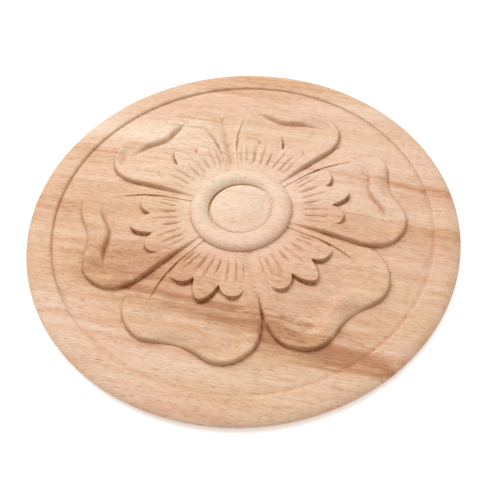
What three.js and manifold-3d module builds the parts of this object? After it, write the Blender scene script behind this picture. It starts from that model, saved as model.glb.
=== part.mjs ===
// A round rosette carved in relief from one flat board: a beaded rim, a plain sunk field,
// six petals with rolled tips, a fan of three leaves on each petal and a ringed button.
// Millimetres. The flat back lies on z = 0, centred on the origin, and the carving faces +Z.
// The flower is symmetric about the YZ plane.
import * as THREE from 'three';
import { mergeVertices } from 'three/addons/utils/BufferGeometryUtils.js';
import Module from 'manifold-3d';

const wasm = await Module();
wasm.setup();

// Disc and rim
const disc_radius = 100;
const back_round = 3.3; // how far the back edge is rounded in
const edge_height = 3.3; // widest circle above the back
const bead_width = 12; // rim bead, from its inner foot to the widest circle
const bead_height = 2.4; // bead's crown above the widest circle
const bead_fall = 6.8; // outer side of the bead that rolls down to the edge
const bead_turn = 1.6; // inner side of the bead that turns down to the groove
const groove_width = 0.8; // fine groove along the foot of the bead
const groove_depth = 0.15; // groove below the field beside it
const rim_field_height = 4.4; // sunk field beside the groove, above the back
const field_height = 5.4; // sunk field at the feet of the petals, above the back
const field_margin = 12; // plain field between the bead and the longest petal

// Flower
const flower_rise = 4.2; // how much the ground climbs from the petals' feet to the boss
const petal_relief = 2.5; // ribs and lobes above the ground
const petal_turn = 2.4; // rounded top edge of a petal, seen from above
const petal_drop = 0.8; // how much that edge falls before the wall
const wall_run = 0.5; // how far a petal's wall leans out to its foot
const dish_depth = 1.5; // hollow of a petal below its ribs, beside the leaves
const dish_fall = 0.4; // how much deeper the hollow is towards the rolled tip
const lip_rise = 0.3; // crest of the rolled tip above the ribs
const lip_bulge = 0.4; // middle of the rolled tip above a straight slope
const lip_run = 2.2; // steep inner side of the rolled tip, seen from above
const notch_fall = 0.7; // how much lower the petal's edge is at its notch
const strip_step = 0.9; // cut that parts the turned side strip from the rest
const strip_step_run = 1.8; // how far the far side of that cut slopes, seen from above
const strip_seam_depth = 1.2; // seam between two turned strips, below the ground
const rib_seam_depth = 0.7; // seam between two ribs at the boss, below the ribs
const rib_seam_width = 4; // how far the ribs fall to that seam, seen from above
const leaf_relief = 0.6; // how much the ground's fall is made up by the leaves' tips
const leaf_crown = 0.6; // middle of a leaf above its sides
const leaf_turn = 1.1; // rounded top edge of a leaf, seen from above
const leaf_drop = 0.35; // how much that edge falls before the wall
const leaf_wall = 0.25; // how far a leaf's wall leans out to its foot
const vein_depth = 0.5;

// Boss
const boss_radius = 23.6; // outer foot of the ring
const ring_width = 8.5; // ring, from its outer foot to the groove around the button
const ring_height = 12.6; // crest of the ring above the back
const button_gap_height = 10.1; // groove around the button, above the back
const button_gap = 0.6; // width of that groove's floor
const button_height = 13; // crown of the button above the back
const button_turn = 2.6; // rounded side of the button, seen from above
const button_dome = 0.8; // rise from the rounded side to the crown

// Counts and fineness
const petal_pairs = 3;
const arc_steps = 3; // facets round a quarter turn of a moulding
const boss_segments = 40;

const full_turn = 360;
const petal_angle = full_turn / (2 * petal_pairs);
const bead_foot = disc_radius - bead_width;
const flower_reach = bead_foot - field_margin;
const hidden_root = boss_radius - ring_width / 2; // the flower begins under the ring's crest
const core_height = button_gap_height / 2; // middle of the disc, hidden in the boss

// Carving lines of one petal, drawn on a petal that is drawn_angle degrees wide, as
// [degrees from its turned side, share of the flower's reach]
const drawn_angle = 60;
const petal_line = [
	[0, 0.76], [2.5, 0.87], [5.5, 0.94], [9.3, 0.98], [13.9, 1], [17.7, 0.999], [21.4, 0.979],
	[25.2, 0.955], [29.2, 0.943], [33.2, 0.948], [37.1, 0.97], [40.8, 0.994], [44.6, 1],
	[49, 0.982], [52.2, 0.953], [54.6, 0.923], [57.2, 0.867], [58.8, 0.81], [60, 0.76],
];
const lip_line = [
	[0, 0.68], [6, 0.79], [10, 0.85], [14, 0.89], [19, 0.9], [24.8, 0.868], [30, 0.845],
	[35.3, 0.857], [40, 0.892], [44, 0.913], [50, 0.88], [55, 0.78], [60, 0.68],
];
const leaf_line = [
	[0, 0.545], [5.4, 0.584], [8.5, 0.608], [11.5, 0.619], [15.2, 0.616], [19, 0.598],
	[21, 0.574], [22, 0.557], [23, 0.574], [24.8, 0.616], [27, 0.65], [30, 0.668], [33, 0.65],
	[35.2, 0.616], [37, 0.574], [38, 0.557], [39, 0.574], [41, 0.598], [44.8, 0.618],
	[48.8, 0.612], [51.6, 0.59], [53.4, 0.555], [60, 0.545],
];
// The turned strip's inner edge, as [share of the flower's reach, degrees]
const strip_line = [
	[0.25, 5.8], [0.42, 5.8], [0.505, 5.4], [0.556, 5.7], [0.618, 6.4], [0.708, 8.2],
	[0.808, 11], [0.89, 13],
];
// Other places across a petal, in degrees from its turned side
const leaf_end = 53.4;
const leaf_end_foot = 54;
const leaf_valleys = [22, 38];
const notch_middle = 30;
const lip_spread = 17;
const hollow_rise = 11; // how far from the strip's edge the hollow has its full depth
const hollow_end = [47, 56];
const strip_side = [3, 18]; // where the low side of the petal climbs to its full height

// Places along a petal, as shares of the flower's reach
const ground_start = 0.88; // where the ground starts to climb
const growth_end = 0.56; // where the petals have their full relief
const strip_climb = [0.7, 0.92]; // where the low side of the petal comes up
const strip_end = [0.72, 0.84]; // where the turned strip stops leaning down to its seam
const dish_start = [0.35, 0.52]; // where the hollow begins
const dish_fall_start = [0.68, 0.8]; // where it deepens towards the rolled tip
const strip_step_middle = 0.62; // where the cut beside the strip is deepest
const strip_step_spread = 0.24;
const strip_seam_start = [0.3, 0.42];
const strip_seam_end = [0.66, 0.84];
const rib_seam_end = [0.46, 0.68]; // where the seam of the ribs sinks to the ground
const leaf_crown_start = [0.3, 0.5];
const leaf_climb = [0.55, 0.72];
const vein_middle = 0.46;
const vein_spread = 0.12;

// Shares of other things
const ground_bow = 0.7; // below 1, the ground climbs fastest at the petals' feet
const root_share = 0.1; // share of the petals' relief that is left at the boss
const strip_share = 0.3; // share of the petals' relief that the turned strip keeps
const dish_end = 0.8; // share of the way over the rolled tip where the hollow has closed
const strip_bow = 0.6; // below 1, the turned strip climbs fastest beside its seam
const button_bow = 0.7; // share of the button's dome that is climbed halfway in

// Places where columns run across a petal: shares of the strip's and of the first leaf's
// width, then degrees
const strip_half_step = 0.35;
const strip_columns = [0.28, 0.62];
const first_leaf_columns = [0.14, 0.32, 0.51, 0.68, 0.85];
const first_leaf_veins = [0.51, 0.85];
const other_leaf_columns = [23.6, 26.5, 30, 33, 36.4, 38, 41, 44, 47, 50.2];
const other_leaf_veins = [26.5, 33, 41, 47];
const rib_columns = [56, 58];
// Places of the rows from the root to the leaves' tips, as shares of that way
const leaf_rows = [0, 0.27, 0.52, 0.77, 1];

const { clamp, degToRad, lerp, smoothstep } = THREE.MathUtils;

// Smooth value of a carving line at a place along it.
function read(line, place) {
	const places = line.map((point) => point[0]);
	const values = line.map((point) => point[1]);
	const curve = new THREE.CubicInterpolant(places, values, 1, [0]);
	return curve.evaluate(clamp(place, places[0], places.at(-1)))[0];
}

// 1 at the middle, falling smoothly to 0 at a distance of spread.
function swell(value, middle, spread) {
	return 1 - smoothstep(Math.abs(value - middle), 0, spread);
}

// Height of the ground that shows between the petals.
function ground(radius) {
	const start = ground_start * flower_reach;
	const way = clamp((start - radius) / (start - boss_radius), 0, 1);
	return field_height + flower_rise * Math.pow(way, ground_bow);
}

// Level of a petal before it is hollowed. It grows out of the ground from the boss outwards,
// and its turned strip lies low, under the rib of the petal beside it.
function petal_level(degrees, radius) {
	const reach = radius / flower_reach;
	const growth = lerp(root_share, 1, smoothstep(radius, hidden_root, growth_end * flower_reach));
	const low = lerp(strip_share, 1, smoothstep(reach, ...strip_climb));
	const side = lerp(low, 1, smoothstep(degrees, ...strip_side));
	return ground(radius) + petal_relief * growth * side;
}

// Floor of the division between two petals: the ground, a cut between two turned strips or a
// shallow valley between two ribs, which sinks to the ground outwards.
function seam_floor(place, radius) {
	const reach = radius / flower_reach;
	const floor = ground(radius);
	if (place.strips_meet) {
		const grown = smoothstep(reach, ...strip_seam_start) * (1 - smoothstep(reach, ...strip_seam_end));
		return floor - strip_seam_depth * grown;
	}
	if (place.ribs_meet) {
		const ribs = petal_level(drawn_angle, radius) - rib_seam_depth;
		return lerp(ribs, floor, smoothstep(reach, ...rib_seam_end));
	}
	return floor;
}

// Depth of the cut that parts the turned strip from the rest of the petal.
function strip_cut(degrees, radius) {
	const reach = radius / flower_reach;
	const gap = degToRad(degrees - read(strip_line, reach)) * radius;
	if (gap < 0) return 0;
	const depth = strip_step * swell(reach, strip_step_middle, strip_step_spread);
	return depth * (1 - smoothstep(gap, 0, strip_step_run));
}

// Height of a petal's face, without its leaves.
function petal_face(place, radius) {
	const { degrees } = place;
	const reach = radius / flower_reach;
	const strip = read(strip_line, reach);
	const level = petal_level(degrees, radius);
	if (degrees < strip) {
		const climb = Math.pow(degrees / strip, strip_bow);
		const lean = 1 - smoothstep(reach, ...strip_end);
		return level - (level - ground(radius)) * (1 - climb) * lean;
	}
	const lip = read(lip_line, degrees);
	const hollow = smoothstep(degrees - strip, 0, hollow_rise)
		* (1 - smoothstep(degrees, ...hollow_end));
	let height = level - strip_cut(degrees, radius);
	if (reach < lip) {
		height -= hollow * dish_depth * smoothstep(reach, ...dish_start);
		height -= hollow * dish_fall * smoothstep(reach, ...dish_fall_start);
	} else {
		const roll = swell(degrees, notch_middle, lip_spread);
		const out = clamp((reach - lip) / (read(petal_line, degrees) - lip), 0, 1);
		const left = (1 - roll) * (1 - smoothstep(out, 0, dish_end));
		height -= hollow * (dish_depth + dish_fall) * left;
		height += roll * (lerp(lip_rise, -notch_fall, out) + 4 * lip_bulge * out * (1 - out));
	}
	if (place.ribs_meet) {
		const gap = degToRad(drawn_angle - degrees) * radius;
		const fall = rib_seam_depth * (1 - smoothstep(gap, 0, rib_seam_width));
		height -= fall * (1 - smoothstep(reach, ...rib_seam_end));
	}
	return height;
}

// Height of a leaf's face: crowned across, level with the petal's ribs.
function leaf_face(degrees, radius) {
	const reach = radius / flower_reach;
	const bounds = [read(strip_line, reach), ...leaf_valleys, leaf_end];
	const leaf = degrees < bounds[1] ? 0 : degrees < bounds[2] ? 1 : 2;
	const half = (bounds[leaf + 1] - bounds[leaf]) / 2;
	const across = Math.abs(degrees - bounds[leaf] - half) / half;
	const grown = smoothstep(reach, ...leaf_crown_start);
	return petal_level(degrees, radius) + leaf_relief * smoothstep(reach, ...leaf_climb)
		+ leaf_crown * (grown * (1 - across * across) - 1 / 2) - strip_cut(degrees, radius);
}

// Places across a petal where its columns run. The first ones follow the strip's edge.
function columns(strip) {
	const edge = strip + strip_half_step;
	return [
		{ degrees: 0, groove: true },
		...strip_columns.map((share) => ({ degrees: share * strip })),
		{ degrees: strip - strip_half_step },
		{ degrees: edge, leaf: true },
		...first_leaf_columns.map((share) => ({
			degrees: lerp(edge, leaf_valleys[0], share),
			leaf: true,
			vein: first_leaf_veins.includes(share),
		})),
		{ degrees: leaf_valleys[0], leaf: true },
		...other_leaf_columns.map((degrees) => ({
			degrees, leaf: true, vein: other_leaf_veins.includes(degrees),
		})),
		{ degrees: leaf_end, leaf: true },
		{ degrees: leaf_end_foot },
		...rib_columns.map((degrees) => ({ degrees })),
		{ degrees: drawn_angle, groove: true },
	];
}

// Rows of the flower from under the ring out to the petals' feet. Each gives its distance from
// the axis and its height at a column.
function flower_rows() {
	const on_line = (line, inset) => (place) => flower_reach * read(line, place.degrees) - inset;
	const leaf_top = on_line(leaf_line, leaf_wall + leaf_turn);
	const petal_top = on_line(petal_line, wall_run + petal_turn);
	const leaf_foot = on_line(leaf_line, 0);
	const lip_foot = on_line(lip_line, lip_run);
	const lip = on_line(lip_line, 0);
	const between = (inner, outer, share) => (place) => lerp(inner(place), outer(place), share);
	const on_face = (drop) => (place, radius) => {
		if (place.groove) return seam_floor(place, radius);
		return petal_face(place, radius) - drop;
	};
	const on_leaf = (drop) => (place, radius) => {
		if (!place.leaf) return on_face(0)(place, radius);
		const reach = radius / flower_reach;
		const cut = place.vein ? vein_depth * swell(reach, vein_middle, vein_spread) : 0;
		return leaf_face(place.degrees, radius) - cut - drop;
	};
	const root = () => hidden_root;
	return [
		...leaf_rows.map((share) => ({
			radius: between(root, leaf_top, share), height: on_leaf(0),
		})),
		{ radius: on_line(leaf_line, leaf_wall), height: on_leaf(leaf_drop) },
		{ radius: leaf_foot, height: on_face(0) },
		{ radius: between(leaf_foot, lip_foot, 1 / 2), height: on_face(0) },
		{ radius: lip_foot, height: on_face(0) },
		{ radius: lip, height: on_face(0) },
		{ radius: between(lip, petal_top, 1 / 2), height: on_face(0) },
		{ radius: petal_top, height: on_face(0) },
		{ radius: on_line(petal_line, wall_run), height: on_face(petal_drop) },
		{ radius: on_line(petal_line, 0), height: seam_floor },
	];
}

// Profile points along a quarter of an ellipse that leaves start and reaches end, both
// square to its axes, and bulges towards the corner between them.
function quarter(start, end, corner) {
	const points = [];
	for (let i = 0; i <= arc_steps; i++) {
		const turn = (Math.PI / 2) * (i / arc_steps);
		const towards = Math.sin(turn);
		const away = 1 - Math.cos(turn);
		points.push([
			start[0] + (corner[0] - start[0]) * towards + (end[0] - corner[0]) * away,
			start[1] + (corner[1] - start[1]) * towards + (end[1] - corner[1]) * away,
		]);
	}
	return points;
}

// Rows of the field, groove, bead and rounded edge: the same all round.
function rim_rows() {
	const crown = edge_height + bead_height;
	const groove = rim_field_height - groove_depth;
	const profile = [
		[bead_foot - groove_width, rim_field_height],
		[bead_foot - groove_width / 2, groove],
		...quarter([bead_foot, groove], [bead_foot + bead_turn, crown], [bead_foot, crown]),
		...quarter([disc_radius - bead_fall, crown], [disc_radius, edge_height],
			[disc_radius, crown]),
		...quarter([disc_radius, edge_height], [disc_radius - back_round, 0],
			[disc_radius, 0]).slice(1),
	];
	return profile.map(([radius, height]) => ({ radius: () => radius, height: () => height }));
}

// Point at an angle round the axis, a distance from it and a height.
function polar(degrees, radius, height) {
	const turn = degToRad(degrees);
	return new THREE.Vector3(radius * Math.cos(turn), radius * Math.sin(turn), height);
}

// One ring of points all round: three petals down the left side, three mirrored up the right.
function ring(row) {
	const near_strip = row.radius({ degrees: strip_line.at(-1)[1] / 2 });
	const places = columns(read(strip_line, near_strip / flower_reach));
	const points = [];
	for (let petal = 0; petal < 2 * petal_pairs; petal++) {
		const start = full_turn / 4 + petal * petal_angle;
		const mirrored = petal >= petal_pairs;
		const ordered = mirrored ? [...places].reverse() : places;
		const strips_meet = petal === 0;
		const ribs_meet = petal === petal_pairs - 1 || petal === petal_pairs;
		ordered.slice(0, -1).forEach((place) => {
			const turn = mirrored ? drawn_angle - place.degrees : place.degrees;
			const angle = start + turn * petal_angle / drawn_angle;
			const radius = row.radius(place);
			const on_rib = place.degrees > leaf_end;
			const here = { ...place, strips_meet, ribs_meet: ribs_meet && on_rib };
			points.push(polar(angle, radius, row.height(here, radius)));
		});
	}
	return points;
}

// A closed solid from a geometry: shared corners are merged and empty triangles left out.
function solid(geometry) {
	geometry.deleteAttribute('normal');
	geometry.deleteAttribute('uv');
	const merged = mergeVertices(geometry);
	const triangles = [];
	for (let i = 0; i < merged.index.count; i += 3) {
		const [a, b, c] = merged.index.array.slice(i, i + 3);
		if (a !== b && b !== c && c !== a) triangles.push(a, b, c);
	}
	return new wasm.Manifold(new wasm.Mesh({
		numProp: 3,
		vertProperties: merged.attributes.position.array,
		triVerts: new Uint32Array(triangles),
	}));
}

// The disc with its flower: rings of points from under the boss out over the rim to the back.
function carved_disc() {
	const rings = [...flower_rows(), ...rim_rows()].map(ring);
	const centre_front = new THREE.Vector3(0, 0, core_height);
	const centre_back = new THREE.Vector3(0, 0, 0);
	const count = rings[0].length;
	const corners = [];
	for (let j = 0; j < count; j++) {
		const next = (j + 1) % count;
		corners.push(centre_front, rings[0][j], rings[0][next]);
		for (let i = 0; i < rings.length - 1; i++) {
			const [inner, outer] = [rings[i], rings[i + 1]];
			corners.push(inner[j], outer[j], outer[next], inner[j], outer[next], inner[next]);
		}
		corners.push(centre_back, rings.at(-1)[next], rings.at(-1)[j]);
	}
	return solid(new THREE.BufferGeometry().setFromPoints(corners));
}

// The boss: a rounded ring around a low button.
function boss() {
	const foot = core_height / 2;
	const gap_outside = boss_radius - ring_width;
	const gap_inside = gap_outside - button_gap;
	const button_side = button_height - button_dome;
	const profile = [
		[0, foot],
		[boss_radius, foot],
		...quarter([boss_radius, ground(boss_radius)], [hidden_root, ring_height],
			[boss_radius, ring_height]),
		...quarter([hidden_root, ring_height], [gap_outside, button_gap_height],
			[gap_outside, ring_height]).slice(1),
		...quarter([gap_inside, button_gap_height], [gap_inside - button_turn, button_side],
			[gap_inside, button_side]),
		[gap_inside / 2, lerp(button_side, button_height, button_bow)],
		[0, button_height],
	];
	const points = profile.map(([radius, height]) => new THREE.Vector2(radius, height));
	return solid(new THREE.LatheGeometry(points, boss_segments).rotateX(Math.PI / 2));
}

const carving = carved_disc().add(boss()).getMesh();
const geometry = new THREE.BufferGeometry();
geometry.setAttribute('position', new THREE.BufferAttribute(carving.vertProperties, 3));
geometry.setIndex(new THREE.BufferAttribute(carving.triVerts, 1));
geometry.computeVertexNormals();

const wood = new THREE.MeshStandardMaterial({ color: 0xe3bb94, roughness: 0.62, metalness: 0 });
const rosette = new THREE.Mesh(geometry, wood);
rosette.name = 'carved_rosette';

const group = new THREE.Group();
group.add(rosette);
export default group;
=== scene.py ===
import logging
import math
from collections.abc import Callable
from dataclasses import dataclass

import bpy
import numpy as np
from mathutils import Matrix, Vector


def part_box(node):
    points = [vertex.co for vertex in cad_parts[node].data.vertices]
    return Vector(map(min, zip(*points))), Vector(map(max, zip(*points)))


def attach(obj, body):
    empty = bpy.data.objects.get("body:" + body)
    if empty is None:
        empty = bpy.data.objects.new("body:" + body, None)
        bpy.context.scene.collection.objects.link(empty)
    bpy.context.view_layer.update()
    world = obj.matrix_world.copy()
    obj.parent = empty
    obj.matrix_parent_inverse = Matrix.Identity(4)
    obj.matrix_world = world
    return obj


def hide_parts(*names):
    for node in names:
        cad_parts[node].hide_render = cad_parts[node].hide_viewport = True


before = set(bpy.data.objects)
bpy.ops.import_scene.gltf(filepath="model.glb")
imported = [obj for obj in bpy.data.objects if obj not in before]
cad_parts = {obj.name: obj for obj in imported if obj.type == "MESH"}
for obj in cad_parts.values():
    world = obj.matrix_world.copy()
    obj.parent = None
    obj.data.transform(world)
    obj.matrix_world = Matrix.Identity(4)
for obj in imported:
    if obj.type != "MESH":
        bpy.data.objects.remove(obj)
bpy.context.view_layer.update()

# A round rosette carved in relief from one board of pale wood that is glued up from strips.
# Sizes are in millimetres and angles in degrees until a mesh or a node is written.
# Places across a petal are degrees from its turned side, and places along it are shares of its reach.
# The flat back lies on z = 0 and the carving faces +Z, as in the solid model.

MM = 0.001
FULL_TURN = 360.0
HALF_TURN = 180.0
FAR_LINE = 90.0  # the line of symmetry on the far side, from +X
PETALS = 6
HALF_PETALS = PETALS // 2
PETAL_ANGLE = FULL_TURN / PETALS
SHORTEST = 1e-12  # keeps a step of no length out of a division
ROUNDING = 1e-7  # keeps the points on a division in one petal
CAD_NODE = "carved_rosette"

Span = tuple[float, float]
Colour = tuple[float, float, float]
Feed = float | tuple | bpy.types.NodeSocket

log = logging.getLogger("rosette")


def smooth(value: np.ndarray, start: float, end: float) -> np.ndarray:
    """Smooth step from 0 at start to 1 at end.

    Args:
        value: places to read.
        start: where the step begins.
        end: where it ends.

    Returns:
        The step's height at each place.
    """
    way = np.clip((value - start) / (end - start), 0.0, 1.0)
    return way * way * (3.0 - 2.0 * way)


def blend(first: np.ndarray, second: np.ndarray, share: np.ndarray) -> np.ndarray:
    """Value a share of the way from first to second."""
    return first + (second - first) * share


def swell(value: np.ndarray, middle: float, spread: float) -> np.ndarray:
    """1 at the middle, falling smoothly to 0 at a distance of spread."""
    return 1.0 - smooth(np.abs(value - middle), 0.0, spread)


def round_over(way: np.ndarray, fullness: float) -> np.ndarray:
    """Rise of a rounded edge that starts upright and ends level.

    Args:
        way: share of the edge's width, from its foot.
        fullness: 2 for a quarter of an ellipse, more for a squarer edge.

    Returns:
        Share of the edge's height.
    """
    left = 1.0 - np.clip(way, 0.0, 1.0)
    return (1.0 - left ** fullness) ** (1.0 / fullness)


def quarter_turn(step: int, steps: int) -> float:
    """Angle of a step along a quarter turn, in radians."""
    return math.pi / 2 * step / steps


def to_plane(degrees: np.ndarray, radius: np.ndarray) -> np.ndarray:
    """x, y rows of places given by their angle and their distance from the axis."""
    turn = np.radians(degrees)
    return np.stack([radius * np.cos(turn), radius * np.sin(turn)], axis=-1)


def arc(degrees: np.ndarray, radius: np.ndarray) -> np.ndarray:
    """Length of an arc of so many degrees at a distance from the axis."""
    return np.radians(degrees) * radius


def distance_to(places: np.ndarray, line: np.ndarray) -> np.ndarray:
    """Distance from places to a line of short straight pieces.

    Args:
        places: one row of x, y for each place.
        line: one row of x, y for each corner of the line.

    Returns:
        The distance from each place to the nearest point of the line.
    """
    nearest = np.full(len(places), np.inf)
    for start, end in zip(line[:-1], line[1:]):
        along = end - start
        offset = places - start
        way = np.clip(offset @ along / max(float(along @ along), SHORTEST), 0.0, 1.0)
        gap = offset - way[:, None] * along
        nearest = np.minimum(nearest, np.einsum("ij,ij->i", gap, gap))
    return np.sqrt(nearest)


@dataclass(frozen=True)
class CarvingLine:
    """A line drawn on the wood as (place, value) points with a smooth curve through them."""

    points: tuple[Span, ...]

    def read(self, place: np.ndarray) -> np.ndarray:
        """Read the line's value.

        Args:
            place: places along the line.

        Returns:
            The curve's value at each place, held level past its ends.
        """
        places, values = np.array(self.points).T
        slopes = np.gradient(values, places)
        held = np.clip(place, places[0], places[-1])
        index = np.clip(np.searchsorted(places, held, side="right") - 1, 0, len(places) - 2)
        width = places[index + 1] - places[index]
        way = (held - places[index]) / width
        square = way * way
        cube = square * way
        return (
            (2 * cube - 3 * square + 1) * values[index]
            + (cube - 2 * square + way) * width * slopes[index]
            + (3 * square - 2 * cube) * values[index + 1]
            + (cube - square) * width * slopes[index + 1]
        )


@dataclass(frozen=True)
class Rim:
    """The disc's edge: a broad bead with a groove inside it, and a rounded back edge."""

    radius: float
    bead_width: float = 12.0
    bead_crown: float = 5.7
    bead_fall: float = 6.8
    bead_turn: float = 1.6
    edge_height: float = 3.3
    back_round: float = 3.3
    groove_width: float = 0.6
    groove_floor: float = 4.3
    field_height: float = 4.4
    groove_steps: int = 2
    turn_steps: int = 7
    crown_steps: int = 3
    fall_steps: int = 11
    back_steps: int = 7

    @property
    def bead_foot(self) -> float:
        """Inner foot of the bead, from the axis."""
        return self.radius - self.bead_width

    @property
    def groove_start(self) -> float:
        """Inner edge of the groove, from the axis."""
        return self.bead_foot - self.groove_width

    def quarter(self, start: Span, end: Span, corner: Span, steps: int) -> list[Span]:
        """Points along a quarter of an ellipse, after its start.

        Args:
            start: (radius, height) where it begins.
            end: where it ends.
            corner: the corner that it bulges towards.
            steps: number of points.

        Returns:
            The points up to and with end.
        """
        points = []
        for step in range(1, steps + 1):
            turn = quarter_turn(step, steps)
            towards = math.sin(turn)
            away = 1.0 - math.cos(turn)
            points.append(tuple(
                start[i] + (corner[i] - start[i]) * towards + (end[i] - corner[i]) * away
                for i in range(2)
            ))
        return points

    def profile(self) -> list[Span]:
        """(radius, height) points from the groove's inner edge over the bead to the back.

        Returns:
            The points, in that order.
        """
        middle = (self.bead_foot - self.groove_width / 2, self.groove_floor)
        foot = (self.bead_foot, self.groove_floor)
        inner_top = (self.bead_foot + self.bead_turn, self.bead_crown)
        outer_top = (self.radius - self.bead_fall, self.bead_crown)
        widest = (self.radius, self.edge_height)
        back = (self.radius - self.back_round, 0.0)
        points = [(self.groove_start, self.field_height)]
        points += self.quarter(
            points[0], middle, (self.groove_start, self.groove_floor), self.groove_steps)
        points.append(foot)
        points += self.quarter(foot, inner_top, (foot[0], self.bead_crown), self.turn_steps)
        for step in range(1, self.crown_steps + 1):
            points.append((blend(inner_top[0], outer_top[0], step / self.crown_steps), self.bead_crown))
        points += self.quarter(outer_top, widest, (self.radius, self.bead_crown), self.fall_steps)
        points += self.quarter(widest, back, (self.radius, 0.0), self.back_steps)
        return points


@dataclass(frozen=True)
class Boss:
    """The ring and the button in the middle of the flower."""

    button_height: float
    ring_foot: float = 23.6
    ring_foot_height: float = 9.6
    ring_crest: float = 19.3
    ring_height: float = 12.6
    ring_fullness: float = 2.1
    ring_inner_fullness: float = 1.7
    gap_outside: float = 14.9
    gap_inside: float = 14.3
    gap_height: float = 10.4
    gap_lean: float = 1.1
    gap_deepest: float = 120.0
    button_shoulder: float = 11.6
    button_side: float = 12.0
    button_fullness: float = 2.0
    button_rows: tuple[float, ...] = (0.0, 3.0, 6.0, 9.0, 11.0)
    button_side_steps: int = 7
    ring_inner_steps: int = 9
    ring_outer_steps: int = 10

    def rows(self) -> list[float]:
        """Distances from the axis at which rows of points run.

        Returns:
            The distances, from the axis outwards.
        """
        rows = list(self.button_rows)
        side = self.gap_inside - self.button_shoulder
        for step in range(self.button_side_steps + 1):
            turn = quarter_turn(step, self.button_side_steps)
            rows.append(self.gap_inside - side * (1 - math.sin(turn)))
        rows.append(self.gap_outside)
        inner = self.ring_crest - self.gap_outside
        for step in range(1, self.ring_inner_steps + 1):
            turn = quarter_turn(step, self.ring_inner_steps)
            rows.append(self.gap_outside + inner * (1 - math.cos(turn)))
        outer = self.ring_foot - self.ring_crest
        for step in range(1, self.ring_outer_steps + 1):
            turn = quarter_turn(step, self.ring_outer_steps)
            rows.append(self.ring_crest + outer * math.sin(turn))
        return rows

    def height(self, turn: np.ndarray, radius: np.ndarray) -> np.ndarray:
        """Height of the ring and the button.

        Args:
            turn: angle round the axis, from +X.
            radius: distance from the axis.

        Returns:
            Height above the back.
        """
        gap = self.gap_height - self.gap_lean * np.cos(np.radians(turn - self.gap_deepest))
        outer = (self.ring_foot - radius) / (self.ring_foot - self.ring_crest)
        ring = blend(self.ring_foot_height, self.ring_height, round_over(outer, self.ring_fullness))
        inner = (radius - self.gap_outside) / (self.ring_crest - self.gap_outside)
        inner_side = blend(gap, self.ring_height, round_over(inner, self.ring_inner_fullness))
        ring = np.where(radius < self.ring_crest, inner_side, ring)
        side = (self.gap_inside - radius) / (self.gap_inside - self.button_shoulder)
        button = blend(gap, self.button_side, round_over(side, self.button_fullness))
        out = np.clip(radius / self.button_shoulder, 0.0, 1.0)
        crown = (self.button_height - self.button_side) * (1.0 - out * out)
        button = np.where(radius < self.gap_inside, button + crown, gap)
        return np.where(radius < self.gap_outside, button, ring)


@dataclass(frozen=True)
class Vein:
    """A short cut on a leaf: its place across the petal, its two ends and how far it leans."""

    degrees: float
    start: float
    end: float
    lean: float = 0.0


# The drawn edge of a petal between its two sides, as (degrees, share of the reach)
PETAL_EDGE = (
    (4.6, 0.925), (9.3, 0.975), (13.9, 1.0), (17.7, 0.999), (21.4, 0.979), (25.2, 0.955),
    (29.2, 0.943), (33.2, 0.948), (37.1, 0.97), (40.8, 0.994), (44.6, 1.0), (49.0, 0.982),
    (52.2, 0.953), (54.6, 0.923), (57.2, 0.867),
)


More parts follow.
